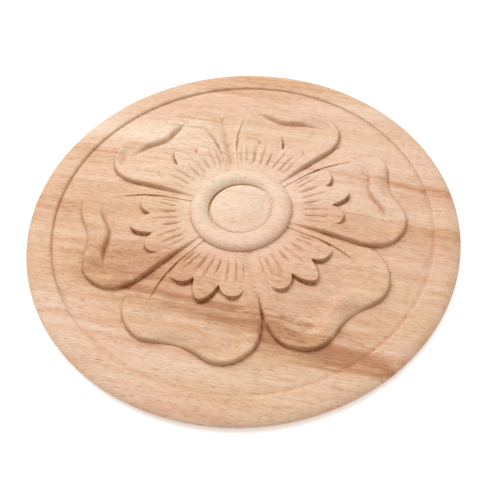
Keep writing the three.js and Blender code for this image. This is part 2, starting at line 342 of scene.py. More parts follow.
@dataclass(frozen=True)
class Petal:
    """One petal: its turned strip, its hollow, its rolled tip, and the leaves on it."""

    reach: float = 76.0
    outline: CarvingLine = CarvingLine(
        ((0, 0.83), (2.2, 0.88), *PETAL_EDGE, (58.8, 0.81), (59.8, 0.745)))
    relief: float = 2.5
    root: float = 19.3
    root_share: float = 0.1
    growth_end: float = 0.56
    wall_width: float = 1.4
    wall_fullness: float = 2.0
    division_gap: float = 0.15

    # The ground that climbs from the sunk field to the boss
    field_height: float = 5.4
    ground_rise: float = 4.2
    ground_start: float = 0.88
    ground_bow: float = 0.7

    # The strip along the turned side, and its seam with a neighbour's strip
    strip: CarvingLine = CarvingLine((
        (0.25, 5.8), (0.42, 5.8), (0.505, 5.4), (0.556, 5.7), (0.618, 6.4), (0.708, 8.2),
        (0.808, 11.0), (0.89, 13.0),
    ))
    strip_cut: CarvingLine = CarvingLine((
        (0.28, 0.1), (0.40, 0.2), (0.50, 0.45), (0.58, 0.9), (0.68, 0.85), (0.78, 0.4), (0.86, 0.0),
    ))
    strip_cut_slope: float = 1.8
    strip_share: float = 0.3
    strip_climb: Span = (0.70, 0.92)
    strip_side: Span = (3.0, 18.0)
    strip_end: Span = (0.72, 0.84)
    strip_bow: float = 0.6
    seam_depth: float = 1.2
    seam_width: float = 2.6
    seam_start: Span = (0.30, 0.42)
    seam_end: Span = (0.66, 0.84)

    # The seam between two ribbed sides
    rib_side: float = 45.0
    rib_seam_depth: float = 0.7
    rib_seam_width: float = 4.0
    rib_seam_end: Span = (0.50, 0.68)
    rib_seam_fall: Span = (0.55, 0.78)
    rib_wall: float = 1.4
    rib_wall_gap: Span = (2.0, 6.0)
    rib_wall_end: Span = (0.74, 0.90)

    # The hollow between the leaves and the rolled tip
    hollow_rise: float = 11.0
    hollow_end: Span = (47.0, 56.0)
    dish_depth: float = 1.5
    dish_start: Span = (0.35, 0.52)
    dish_fall: float = 0.4
    dish_fall_start: Span = (0.68, 0.80)
    dish_end: float = 0.8

    # The rolled tip, and the notch in its middle
    lip: CarvingLine = CarvingLine((
        (0, 0.68), (6, 0.79), (10, 0.85), (14, 0.885), (18, 0.892), (21, 0.875), (24, 0.855),
        (26.5, 0.839), (28.5, 0.831), (32, 0.838), (35.3, 0.857), (38, 0.877), (41, 0.895),
        (45, 0.905), (50, 0.88), (55, 0.78), (60, 0.68),
    ))
    lip_least: float = 0.02
    lip_rise: float = 0.6
    lip_fall: float = 0.5
    lip_bulge: float = 0.5
    lip_run: float = 2.3
    lip_fullness: float = 1.7
    lip_flat: float = 6.0
    lip_spread: float = 19.0
    lip_cut: float = 0.5
    soft_fold: Span = (-0.7, 1.2)
    notch_middle: float = 30.0
    notch_side: float = 28.5
    notch_spread: float = 8.5
    notch_drop: float = 1.2
    notch_start: float = 0.35

    # The fan of leaves, cut in round its outline, with a crease beside the last leaf
    leaves: tuple[CarvingLine, CarvingLine, CarvingLine] = (
        CarvingLine((
            (0, 0.545), (5.4, 0.584), (8.5, 0.608), (11.5, 0.619), (15.2, 0.617),
            (19, 0.598), (21, 0.574), (22.4, 0.545),
        )),
        CarvingLine((
            (21.6, 0.545), (23, 0.574), (24.8, 0.616), (27, 0.65), (30, 0.67), (33, 0.65),
            (35.2, 0.616), (37, 0.574), (38.4, 0.545),
        )),
        CarvingLine((
            (37.6, 0.545), (39, 0.574), (41, 0.598), (44.8, 0.618), (48.8, 0.612),
            (51.6, 0.59), (53.4, 0.555), (60, 0.545),
        )),
    )
    leaf_cut: CarvingLine = CarvingLine((
        (4, 0.5), (8, 0.5), (12, 1.0), (16, 1.4), (21.5, 1.8), (22.5, 1.5), (25, 0.6), (27.5, 0.6),
        (31, 1.5), (37, 1.9), (38.3, 1.7), (41, 1.0), (46, 1.2), (51, 1.0), (54, 0.5),
    ))
    leaf_cut_least: float = 1.0
    cut_reach: float = 1.3
    leaf_start: float = 4.0
    leaf_valleys: Span = (22.0, 38.0)
    leaf_end: float = 53.4
    leaf_wall: float = 0.4
    leaf_fullness: float = 2.4
    leaf_margin: float = 0.03
    leaf_relief: float = 0.6
    leaf_climb: Span = (0.55, 0.72)
    leaf_crown: float = 0.6
    leaf_crown_start: Span = (0.30, 0.50)
    leaf_sink: float = 0.3
    crease_side: float = 53.7
    crease_depth: float = 0.3
    crease_width: float = 0.8
    crease_start: Span = (0.50, 0.60)
    crease_end: Span = (0.64, 0.74)

    # The veins on the leaves
    veins: tuple[Vein, ...] = (
        Vein(9.7, 0.36, 0.54, -6.0), Vein(15.2, 0.365, 0.57, -12.0), Vein(21.0, 0.36, 0.52),
        Vein(27.8, 0.355, 0.57, -2.0), Vein(34.1, 0.355, 0.51), Vein(40.6, 0.355, 0.56, 9.0),
        Vein(47.6, 0.36, 0.55, 5.0), Vein(53.6, 0.37, 0.51),
    )
    vein_depth: float = 1.0
    vein_width: float = 0.9
    vein_bow: float = 1.4
    vein_rise: float = 0.05
    vein_fade: Span = (-0.07, 0.01)

    # How many corners the drawn outlines have where distances to them are measured
    leaf_corners: tuple[int, int, int] = (70, 90, 80)
    outline_corners: int = 220

    def leaf_line(self, degrees: np.ndarray) -> np.ndarray:
        """Outer line of the leaf fan, which comes to a point in each valley between leaves."""
        first, second = self.leaf_valleys
        return np.where(
            degrees < first, self.leaves[0].read(degrees),
            np.where(degrees < second, self.leaves[1].read(degrees), self.leaves[2].read(degrees)),
        )

    def ground(self, radius: np.ndarray) -> np.ndarray:
        """Height of the ground that climbs from the sunk field to the boss.

        Args:
            radius: distance from the axis.

        Returns:
            Height above the back.
        """
        start = self.ground_start * self.reach
        way = np.clip((start - radius) / (start - Boss.ring_foot), 0.0, 1.0)
        return self.field_height + self.ground_rise * way ** self.ground_bow

    def level(self, degrees: np.ndarray, radius: np.ndarray) -> np.ndarray:
        """Height of the petal before it is hollowed: low on the turned side, full on the other.

        Args:
            degrees: angle from the petal's turned side.
            radius: distance from the axis.

        Returns:
            Height above the back.
        """
        growth = blend(self.root_share, 1.0, smooth(radius, self.root, self.growth_end * self.reach))
        low = blend(self.strip_share, 1.0, smooth(radius / self.reach, *self.strip_climb))
        side = blend(low, 1.0, smooth(degrees, *self.strip_side))
        return self.ground(radius) + self.relief * growth * side

    def floor(self, degrees: np.ndarray, radius: np.ndarray, high_seam: np.ndarray) -> np.ndarray:
        """Height beside the petal: the field, the next petal's strip or the seam of two ribs.

        Args:
            degrees: angle from the petal's turned side.
            radius: distance from the axis.
            high_seam: true where the ribbed side meets another ribbed side.

        Returns:
            Height above the back.
        """
        ribs = self.level(degrees, radius) - self.rib_seam_depth
        fall = smooth(radius / self.reach, *self.rib_seam_fall)
        seam = blend(ribs, self.ground(radius), fall)
        return np.where(high_seam & (degrees > self.rib_side), seam, self.ground(radius))

    def strip_step(self, degrees: np.ndarray, radius: np.ndarray) -> np.ndarray:
        """Depth of the cut that parts the turned strip from the rest, steep on the strip's side.

        Args:
            degrees: angle from the petal's turned side.
            radius: distance from the axis.

        Returns:
            Depth below the petal's level.
        """
        share = radius / self.reach
        gap = arc(degrees - self.strip.read(share), radius)
        return self.strip_cut.read(share) * (1.0 - smooth(gap, 0.0, self.strip_cut_slope))

    def strip_height(
        self, degrees: np.ndarray, radius: np.ndarray, low_seam: np.ndarray
    ) -> np.ndarray:
        """Height of the turned strip, which leans down to its seam.

        Args:
            degrees: angle from the petal's turned side.
            radius: distance from the axis.
            low_seam: true where the turned side meets another turned side.

        Returns:
            Height above the back.
        """
        share = radius / self.reach
        level = self.level(degrees, radius)
        leans = 1.0 - smooth(share, *self.strip_end)
        climb = np.clip(degrees / self.strip.read(share), 0.0, 1.0) ** self.strip_bow
        drop = (level - self.ground(radius)) * (1.0 - climb) * leans
        valley = self.seam_depth * (1.0 - smooth(arc(degrees, radius), 0.0, self.seam_width))
        valley = valley * smooth(share, *self.seam_start) * (1.0 - smooth(share, *self.seam_end))
        return level - drop - np.where(low_seam, valley, 0.0)

    def dish_height(
        self, degrees: np.ndarray, radius: np.ndarray, near: np.ndarray, fan_gap: np.ndarray
    ) -> np.ndarray:
        """Height of the hollow and the rolled tip.

        Args:
            degrees: angle from the turned side.
            radius: distance from the axis.
            near: 0 on the far petals, whose folds are cut crisply, to 1 on the near ones.
            fan_gap: distance from the leaf fan's outline.

        Returns:
            Height above the back.
        """
        share = radius / self.reach
        edge = self.strip.read(share)
        level = self.level(degrees, radius)
        hollow = smooth(degrees - edge, 0.0, self.hollow_rise)
        hollow = hollow * (1.0 - smooth(degrees, *self.hollow_end))
        depth = self.dish_depth * smooth(share, *self.dish_start)
        depth = depth + self.dish_fall * smooth(share, *self.dish_fall_start)
        cut = (self.leaf_cut.read(degrees) - self.leaf_cut_least) * np.exp(-fan_gap / self.cut_reach)
        past_leaves = share > self.leaf_line(degrees) - self.leaf_margin
        inner = level - depth * hollow - np.where(past_leaves, cut, 0.0)

        lip = self.lip.read(degrees)
        roll = 1.0 - smooth(np.abs(degrees - self.notch_middle), self.lip_flat, self.lip_spread)
        width = np.maximum(self.outline.read(degrees) - lip, self.lip_least)
        out = np.clip((share - lip) / width, 0.0, 1.0)
        flat = 1.0 - smooth(out, 0.0, self.dish_end)
        outer = level - (self.dish_depth + self.dish_fall) * hollow * (1.0 - roll) * flat
        bulge = 4.0 * self.lip_bulge * out * (1.0 - out)
        outer = outer + roll * (blend(self.lip_rise, -self.lip_fall, out) + bulge)
        notch = swell(degrees, self.notch_side, self.notch_spread)
        outer = outer - self.notch_drop * notch * smooth(out, self.notch_start, 1.0)

        way = 1.0 + (share - lip) * self.reach / self.lip_run
        rise = blend(round_over(way, self.lip_fullness), smooth(way, *self.soft_fold), near)
        foot_gap = np.abs((share - lip) * self.reach + self.lip_run)
        undercut = self.lip_cut * np.exp(-foot_gap / self.cut_reach)
        inner = inner - roll * (1.0 - near) * undercut
        return blend(inner, outer, rise) - self.strip_step(degrees, radius)

    def crease(self, degrees: np.ndarray, radius: np.ndarray) -> np.ndarray:
        """Depth of the crease that runs on from the last leaf's side.

        Args:
            degrees: angle from the petal's turned side.
            radius: distance from the axis.

        Returns:
            Depth below the hollow.
        """
        share = radius / self.reach
        gap = arc(np.abs(degrees - self.crease_side), radius)
        depth = self.crease_depth * (1.0 - smooth(gap, 0.0, self.crease_width))
        return depth * smooth(share, *self.crease_start) * (1.0 - smooth(share, *self.crease_end))

    def leaf_top(self, degrees: np.ndarray, radius: np.ndarray) -> np.ndarray:
        """Height of the leaves' tops, crowned across and cut by their veins.

        Args:
            degrees: angle from the petal's turned side.
            radius: distance from the axis.

        Returns:
            Height above the back.
        """
        share = radius / self.reach
        edge = self.strip.read(share)
        first, second = self.leaf_valleys
        low = np.where(degrees < first, edge, np.where(degrees < second, first, second))
        high = np.where(degrees < first, first, np.where(degrees < second, second, self.leaf_end))
        half = (high - low) / 2
        across = np.clip(np.abs(degrees - low - half) / half, 0.0, 1.0)
        crown = self.leaf_crown * smooth(share, *self.leaf_crown_start) * (1.0 - across * across)
        level = self.level(degrees, radius) + self.leaf_relief * smooth(share, *self.leaf_climb)
        top = level + crown - self.leaf_sink - self.strip_step(degrees, radius)
        fade_start, fade_end = self.vein_fade
        for vein in self.veins:
            line = vein.degrees + vein.lean * (share - vein.start)
            gap = arc(np.abs(degrees - line), radius)
            length = smooth(share, vein.start, vein.start + self.vein_rise)
            length = length * (1.0 - smooth(share, vein.end + fade_start, vein.end + fade_end))
            groove = np.clip(1.0 - gap / self.vein_width, 0.0, 1.0) ** self.vein_bow
            top = top - self.vein_depth * length * groove
        return top

    def leaf_outline(self) -> np.ndarray:
        """x, y corners of the leaf fan's outer line and of its last leaf's side.

        Returns:
            One row for each corner.
        """
        stops = (self.leaf_start, *self.leaf_valleys, self.leaf_end)
        degrees = np.concatenate([
            np.linspace(start, end, corners)
            for start, end, corners in zip(stops[:-1], stops[1:], self.leaf_corners)
        ])
        fan = to_plane(degrees, self.leaf_line(degrees) * self.reach)
        side = to_plane(np.array([self.leaf_end]), np.array([self.root]))
        return np.concatenate([fan, side])

    def outer_outline(self) -> np.ndarray:
        """x, y corners of the petal's outline, back along the division to the boss.

        Returns:
            One row for each corner.
        """
        degrees = np.linspace(0.0, self.outline.points[-1][0], self.outline_corners)
        line = to_plane(degrees, self.outline.read(degrees) * self.reach)
        turn = math.radians(PETAL_ANGLE)
        inward = np.array([math.sin(turn), -math.cos(turn)]) * self.division_gap
        root = to_plane(np.array([PETAL_ANGLE]), np.array([self.root])) + inward
        return np.concatenate([line, root])

    def height(
        self, degrees: np.ndarray, radius: np.ndarray, near: np.ndarray, low_seam: np.ndarray,
        high_seam: np.ndarray
    ) -> np.ndarray:
        """Height of the whole flower in one petal's wedge.

        Args:
            degrees: angle from the petal's turned side.
            radius: distance from the axis.
            near: 0 on the far petals to 1 on the near ones.
            low_seam: true where the turned side meets another turned side.
            high_seam: true where the ribbed side meets another ribbed side.

        Returns:
            Height above the back.
        """
        share = radius / self.reach
        places = to_plane(degrees, radius)
        on_strip = degrees < self.strip.read(share)
        fan_gap = distance_to(places, self.leaf_outline())
        dish = self.dish_height(degrees, radius, near, fan_gap) - self.crease(degrees, radius)
        face = np.where(on_strip, self.strip_height(degrees, radius, low_seam), dish)
        in_fan = (share < self.leaf_line(degrees)) & (degrees < self.leaf_end)
        leaf = round_over(np.where(in_fan, fan_gap, 0.0) / self.leaf_wall, self.leaf_fullness)
        petal = blend(face, self.leaf_top(degrees, radius), np.where(on_strip, 0.0, leaf))

        rib_gap = arc(PETAL_ANGLE - degrees, radius)
        rib_fall = self.rib_seam_depth * (1.0 - smooth(rib_gap, 0.0, self.rib_seam_width))
        rib_fall = rib_fall * (1.0 - smooth(share, *self.rib_seam_end))
        petal = petal - np.where(high_seam, rib_fall, 0.0)

        wall_gap = distance_to(places, self.outer_outline())
        inside = (share < self.outline.read(degrees)) & (rib_gap > self.division_gap)
        broader = self.rib_wall * (1.0 - smooth(rib_gap, *self.rib_wall_gap))
        broader = broader * (1.0 - smooth(share, *self.rib_wall_end))
        width = self.wall_width + np.where(high_seam, broader, 0.0)
        wall = round_over(np.where(inside, wall_gap, 0.0) / width, self.wall_fullness)
        return blend(self.floor(degrees, radius, high_seam), petal, wall)


@dataclass(frozen=True)
class CarvingGrid:
    """Where the mesh's rows and columns of points run, close together where the carving turns."""

    rim: Rim
    boss: Boss
    petal: Petal

    # Columns: counts between the strip, the leaves' valleys, the last leaf's side and the wall
    column_counts: tuple[int, ...] = (9, 5, 25, 4, 23, 4, 22, 5, 3, 10)
    strip_gap: float = 0.3
    valley_gap: float = 0.8
    leaf_side_gaps: Span = (0.5, 0.6)
    wall_run: float = 2.0
    widest_wall: float = 4.6

    # Rows: how far inside the leaves' line, the rolled tip's and the petal's edge they run
    edge: CarvingLine = CarvingLine(
        ((0, 0.80), (1.2, 0.85), (2.8, 0.89), *PETAL_EDGE, (58.8, 0.815), (60, 0.80)))
    leaf_insets: tuple[float, ...] = (
        1.1, 0.75, 0.5, 0.36, 0.26, 0.17, 0.09, 0.03, 0.0, -0.15, -0.45)
    lip_insets: tuple[float, ...] = (2.5, 2.2, 1.9, 1.6, 1.3, 1.0, 0.7, 0.4, 0.1, -0.3, -1.0)
    edge_insets: tuple[float, ...] = (
        1.9, 1.5, 1.2, 0.95, 0.72, 0.52, 0.35, 0.21, 0.1, 0.03, 0.0, -0.15)
    leaf_margin: float = 1.5
    lip_margin: float = 2.8
    edge_margin: float = 2.6
    leaf_rows: int = 23
    dish_rows: int = 13
    tip_rows: int = 7
    field_rows: int = 9
    dish_spacing: float = 1.1
    field_spacing: float = 1.15
    least_tip: float = 0.4
    least_step: float = 0.05
    most_leaf_slant: float = 2.6
    most_edge_slant: float = 3.0
    slope_step: float = 0.05
    sample_side: float = 8.0

    def columns(self, radius: float) -> np.ndarray:
        """Degrees across one petal at which columns of points run.

        Args:
            radius: distance from the axis of the row of points.

        Returns:
            The columns' places, from one division to the next.
        """
        petal = self.petal
        strip = float(petal.strip.read(np.array([radius / petal.reach]))[0])
        wall = min(math.degrees(self.wall_run / max(radius, self.boss.ring_foot)), self.widest_wall)
        first, second = petal.leaf_valleys
        before, after = self.leaf_side_gaps
        stops = (
            0.0, strip - self.strip_gap, strip + self.strip_gap,
            first - self.valley_gap, first + self.valley_gap,
            second - self.valley_gap, second + self.valley_gap,
            petal.leaf_end - before, petal.leaf_end + after, PETAL_ANGLE - wall, PETAL_ANGLE,
        )
        places = [np.array([0.0])]
        for start, end, count in zip(stops[:-1], stops[1:], self.column_counts):
            places.append(np.linspace(start, end, count + 1)[1:])
        return np.concatenate(places)

    def slant(
        self, line: Callable[[np.ndarray], np.ndarray], degrees: np.ndarray, most: float
    ) -> np.ndarray:
        """How far along the radius a step of 1 square to a line goes.

        Args:
            line: gives the line's share of the reach at places across the petal.
            degrees: places across the petal.
            most: the largest answer.

        Returns:
            The distance along the radius at each place.
        """
        here = line(degrees) * self.petal.reach
        ahead = line(degrees + self.slope_step) * self.petal.reach
        slope = (ahead - here) / np.radians(self.slope_step) / here
        return np.minimum(np.sqrt(1.0 + slope * slope), most)

    def rows(self, degrees: np.ndarray) -> list[np.ndarray]:
        """Distances from the axis of every row of points over the flower and the field.

        Args:
            degrees: places of the columns across a petal.

        Returns:
            One array of distances for each row, from the boss outwards.
        """
        petal = self.petal
        leaf = petal.leaf_line(degrees) * petal.reach
        leaf_slant = self.slant(petal.leaf_line, degrees, self.most_leaf_slant)
        lip = petal.lip.read(degrees) * petal.reach
        edge = self.edge.read(degrees) * petal.reach
        edge_slant = self.slant(self.edge.read, degrees, self.most_edge_slant)

        rows = []
        leaf_inner = leaf - self.leaf_margin * leaf_slant
        for i in range(1, self.leaf_rows + 1):
            rows.append(blend(self.boss.ring_foot, leaf_inner, i / self.leaf_rows))
        for inset in self.leaf_insets:
            rows.append(leaf - inset * leaf_slant)
        leaf_outer = rows[-1]
        for i in range(1, self.dish_rows + 1):
            way = (i / self.dish_rows) ** self.dish_spacing
            rows.append(blend(leaf_outer, lip - self.lip_margin, way))
        for inset in self.lip_insets:
            rows.append(lip - inset)
        lip_outer = rows[-1]
        edge_inner = np.maximum(edge - self.edge_margin * edge_slant, lip_outer + self.least_tip)
        for i in range(1, self.tip_rows + 1):
            rows.append(blend(lip_outer, edge_inner, i / self.tip_rows))
        last = rows[-1]
        for inset in self.edge_insets:
            last = np.maximum(edge - inset * edge_slant, last + self.least_step)
            rows.append(last)
        for i in range(1, self.field_rows + 1):
            way = (i / (self.field_rows + 1)) ** self.field_spacing
            rows.append(blend(last, self.rim.groove_start, way))
        return rows

    def full_row(self, places: np.ndarray, radii: np.ndarray) -> tuple[np.ndarray, np.ndarray]:
        """Repeat one petal's part of a row over half the flower, and mirror that half.

        Args:
            places: the columns' places across a petal.
            radii: their distances from the axis.

        Returns:
            The angle from +X and the distance of each point round the whole row.
        """
        near_line = FAR_LINE + HALF_TURN
        left = np.concatenate([
            FAR_LINE + i * PETAL_ANGLE + places[:-1] for i in range(HALF_PETALS)
        ] + [np.array([near_line])])
        out = np.concatenate([radii[:-1]] * HALF_PETALS + [radii[-1:]])
        turns = np.concatenate([left, 2.0 * near_line - left[-2:0:-1], [FAR_LINE + FULL_TURN]])
        return turns, np.concatenate([out, out[-2:0:-1], out[:1]])

    def carved_rows(self) -> tuple[np.ndarray, np.ndarray]:
        """Angles and distances of every point inside the rim's groove, row by row.

        Returns:
            The angles from +X and the distances from the axis, one row for each row of points.
        """
        rows = []
        for radius in self.boss.rows():
            places = self.columns(radius)
            rows.append(self.full_row(places, np.full(len(places), radius)))
        for i, sample in enumerate(self.rows(np.array([self.sample_side]))):
            places = self.columns(float(sample[0]))
            rows.append(self.full_row(places, self.rows(places)[i]))
        return np.array([row[0] for row in rows]), np.array([row[1] for row in rows])


@dataclass(frozen=True)
class CarvedRosette:
    """The whole carving as one closed mesh that stands for the solid model's rosette."""

    rim: Rim
    boss: Boss
    petal: Petal
    name: str = "rosette_carving"
    field_fall_start: float = 74.0
    sharp_angle: float = 40.0
    merge_distance: float = 0.002

    # The cuts and steep walls get painted shade, darker than the rest: the ring's and the rim's most on
    # the far side, the leaves' most on the near side, and the tips' none at all on the two near petals
    hollow_size: float = 1.2
    map_cells: int = 401
    blur_cells: int = 8
    rim_dusk: float = 0.7
    rim_margin: float = 1.0
    tip_dusk: float = 0.65
    tip_spread: float = 22.0
    tip_least: float = 0.3
    tip_reach: Span = (0.74, 0.90)
    leaf_dusk: float = 0.6
    leaf_margin: float = 0.03
    boss_dusk: float = 1.2
    boss_margin: float = 0.2
    near_fade: Span = (0.35, 0.65)

    def across_petal(self, turn: np.ndarray) -> tuple[np.ndarray, np.ndarray]:
        """Which petal a place is on, and where across it.

        Args:
            turn: angle round the axis, from +X.

        Returns:
            The petal's number from the far side, and degrees from its turned side.
        """
        left = np.where(np.cos(np.radians(turn)) > 0, HALF_TURN - turn, turn) % FULL_TURN
        left = np.clip(left - FAR_LINE, 0.0, HALF_TURN)
        wedge = np.clip(np.floor(left / PETAL_ANGLE + ROUNDING), 0, HALF_PETALS - 1)
        return wedge, np.clip(left - wedge * PETAL_ANGLE, 0.0, PETAL_ANGLE)

    def far(self, turn: np.ndarray) -> np.ndarray:
        """1 on the side where the cuts are deepest, falling to 0 on the opposite side; the painted
        shade in the cuts is weighed by it.
        """
        return 0.5 + 0.5 * np.cos(np.radians(turn - self.boss.gap_deepest))

    def near(self, turn: np.ndarray) -> np.ndarray:
        """1 on the two near petals, whose folds are soft, and 0 on the others."""
        return smooth(-np.sin(np.radians(turn)), *self.near_fade)

    def surface(self, turn: np.ndarray, radius: np.ndarray) -> np.ndarray:
        """Height of the carved face inside the rim's groove.

        Args:
            turn: angle round the axis, from +X.
            radius: distance from the axis.

        Returns:
            Height above the back.
        """
        wedge, degrees = self.across_petal(turn)
        flower = self.petal.height(
            degrees, radius, self.near(turn), wedge == 0, wedge == HALF_PETALS - 1)
        way = (radius - self.field_fall_start) / (self.rim.groove_start - self.field_fall_start)
        fall = (self.petal.field_height - self.rim.field_height) * np.clip(way, 0.0, 1.0)
        carved = flower - fall
        beside_ring = np.where(radius > self.boss.ring_crest, carved, 0.0)
        boss = np.maximum(self.boss.height(turn, radius), beside_ring)
        return np.where(radius < self.boss.ring_foot, boss, carved)

    def points(self) -> np.ndarray:
        """Every point of the carved face, as rows of columns of x, y, z.

        Returns:
            The points in millimetres, by row, column and axis.
        """
        turns, radii = CarvingGrid(self.rim, self.boss, self.petal).carved_rows()
        heights = self.surface(turns.ravel(), radii.ravel()).reshape(radii.shape)
        profile = np.array(self.rim.profile())
        columns = radii.shape[1]
        turns = np.concatenate([turns, np.repeat(turns[-1:], len(profile), axis=0)])
        radii = np.concatenate([radii, np.repeat(profile[:, :1], columns, axis=1)])
        heights = np.concatenate([heights, np.repeat(profile[:, 1:], columns, axis=1)])
        angle = np.radians(turns)
        return np.stack([radii * np.cos(angle), radii * np.sin(angle), heights], axis=-1)

    def sunken(self, places: np.ndarray) -> np.ndarray:
        """How far the carving lies below the mean height round each place.

        Args:
            places: one row of x, y for each place.

        Returns:
            The depth at each place.
        """
        reach = self.rim.radius
        line = np.linspace(-reach, reach, self.map_cells)
        across, up = np.meshgrid(line, line)
        around = np.hypot(across, up)
        turn = np.degrees(np.arctan2(up, across)) % FULL_TURN
        level = self.surface(turn.ravel(), around.ravel()).reshape(around.shape)
        profile = np.array(self.rim.profile())
        top = profile[: int(np.argmax(profile[:, 0])) + 1]
        bead = np.interp(around, top[:, 0], top[:, 1])
        level = np.where(around > self.rim.groove_start, bead, level)

        spacing = line[1] - line[0]
        offsets = np.arange(-self.blur_cells, self.blur_cells + 1)
        weights = np.exp(-0.5 * (offsets * spacing / self.hollow_size) ** 2)
        weights /= weights.sum()
        blurred = level
        for axis in (0, 1):
            blurred = sum(
                weight * np.roll(blurred, offset, axis)
                for weight, offset in zip(weights, offsets)
            )
        depth = blurred - level

        at = (places + reach) / spacing
        cell = np.clip(at.astype(int), 0, self.map_cells - 2)
        part = at - cell
        column, row = cell[:, 0], cell[:, 1]
        low = blend(depth[row, column], depth[row, column + 1], part[:, 0])
        high = blend(depth[row + 1, column], depth[row + 1, column + 1], part[:, 0])
        return blend(low, high, part[:, 1])

    def painted_shade_share(self, turn: np.ndarray, radius: np.ndarray) -> np.ndarray:
        """How much painted shade the cuts and walls get at each place, where 1 is the full tint.

        Args:
            turn: angle round the axis, from +X.
            radius: distance from the axis.

        Returns:
            The share of the tint.
        """
        _, degrees = self.across_petal(turn)
        reach = radius / self.petal.reach
        far = self.far(turn)
        beside_leaf = np.abs(reach - self.petal.leaf_line(degrees)) < self.leaf_margin
        on_tip = swell(degrees, self.petal.notch_middle, self.tip_spread) > self.tip_least
        on_tip = on_tip & (reach > self.tip_reach[0]) & (reach < self.tip_reach[1])
        share = np.where(beside_leaf, 1.0 + self.leaf_dusk * (1.0 - far), 1.0)
        share = np.where(on_tip, self.tip_dusk * (1.0 - self.near(turn)), share)
        share = np.where(radius > self.rim.groove_start - self.rim_margin, self.rim_dusk * far, share)
        share = np.where(radius < self.boss.ring_foot - self.boss_margin, self.boss_dusk * far, share)
        return np.where(radius > self.rim.radius - self.rim.bead_fall, 0.0, share)

    def mark(self, mesh: bpy.types.Mesh) -> None:
        """Store painted shade for the finish: how steep and how sunken the carving is at each point,
        each times its share of painted shade.

        Args:
            mesh: the finished mesh, in metres.
        """
        count = len(mesh.vertices)
        places = np.empty(count * 3)
        mesh.vertices.foreach_get("co", places)
        places = places.reshape(-1, 3) / MM
        normals = np.empty(count * 3)
        mesh.vertices.foreach_get("normal", normals)
        normals = normals.reshape(-1, 3)
        radius = np.hypot(places[:, 0], places[:, 1])
        turn = np.degrees(np.arctan2(places[:, 1], places[:, 0])) % FULL_TURN
        on_face = places[:, 2] > self.rim.edge_height
        on_flower = on_face & (radius > self.boss.ring_foot - self.boss_margin)
        painted_shade_share = self.painted_shade_share(turn, radius)
        # Painted shade: hollow is how far the carving is sunken and steep how steep it is, both times
        # the share of painted shade
        hollow = np.where(on_face, self.sunken(places[:, :2]) * painted_shade_share, 0.0)
        steep = np.where(on_flower, (1.0 - np.abs(normals[:, 2])) * np.minimum(painted_shade_share, 1.0), 0.0)
        for name, values in (("hollow", hollow), ("steep", steep)):
            layer = mesh.attributes.new(name, "FLOAT", "POINT")
            layer.data.foreach_set("value", np.ascontiguousarray(values, dtype=np.float32))

    def build(self) -> bpy.types.Object:
        """Bend a grid round the axis, move its points onto the carving and close it.

        Returns:
            The finished piece, with its place in its mesh.
        """
        points = self.points()
        row_count, column_count, _ = points.shape
        bpy.ops.object.select_all(action="DESELECT")
        bpy.ops.mesh.primitive_grid_add(
            x_subdivisions=column_count - 1, y_subdivisions=row_count - 1, size=1.0)
        piece = bpy.context.object
        piece.name = self.name
        mesh = piece.data
        mesh.name = self.name
        flat = np.empty(len(mesh.vertices) * 3)
        mesh.vertices.foreach_get("co", flat)
        flat = flat.reshape(-1, 3)
        column = np.rint((flat[:, 0] + 0.5) * (column_count - 1)).astype(int)
        row = np.rint((flat[:, 1] + 0.5) * (row_count - 1)).astype(int)
        mesh.vertices.foreach_set("co", (points[row, column] * MM).ravel())
        mesh.update()

        bpy.ops.object.mode_set(mode="EDIT")
        bpy.ops.mesh.select_mode(type="VERT")
        bpy.ops.mesh.select_all(action="SELECT")
        bpy.ops.mesh.remove_doubles(threshold=self.merge_distance * MM)
        bpy.ops.mesh.select_all(action="DESELECT")
        bpy.ops.mesh.select_non_manifold(
            extend=False, use_wire=False, use_boundary=True, use_multi_face=False,
            use_non_contiguous=False, use_verts=False)
        bpy.ops.mesh.edge_face_add()
        bpy.ops.mesh.select_all(action="SELECT")
        bpy.ops.mesh.normals_make_consistent(inside=False)
        bpy.ops.mesh.select_all(action="DESELECT")
        bpy.ops.object.mode_set(mode="OBJECT")
        bpy.ops.object.shade_smooth_by_angle(angle=math.radians(self.sharp_angle))
        self.mark(mesh)
        return piece


@dataclass(frozen=True)
class Layer:
    """One layer of noise in the wood: where it starts, how large its blotches are, and its weight."""

    place: Colour
    size: Colour
    detail: float
    weight: float = 1.0
    roughness: float = 0.5


@dataclass(frozen=True)
class Tint:
    """A colour that darkens the wood, by up to a share, as a value climbs from start to end."""

    start: float
    end: float
    share: float
    colour: Colour


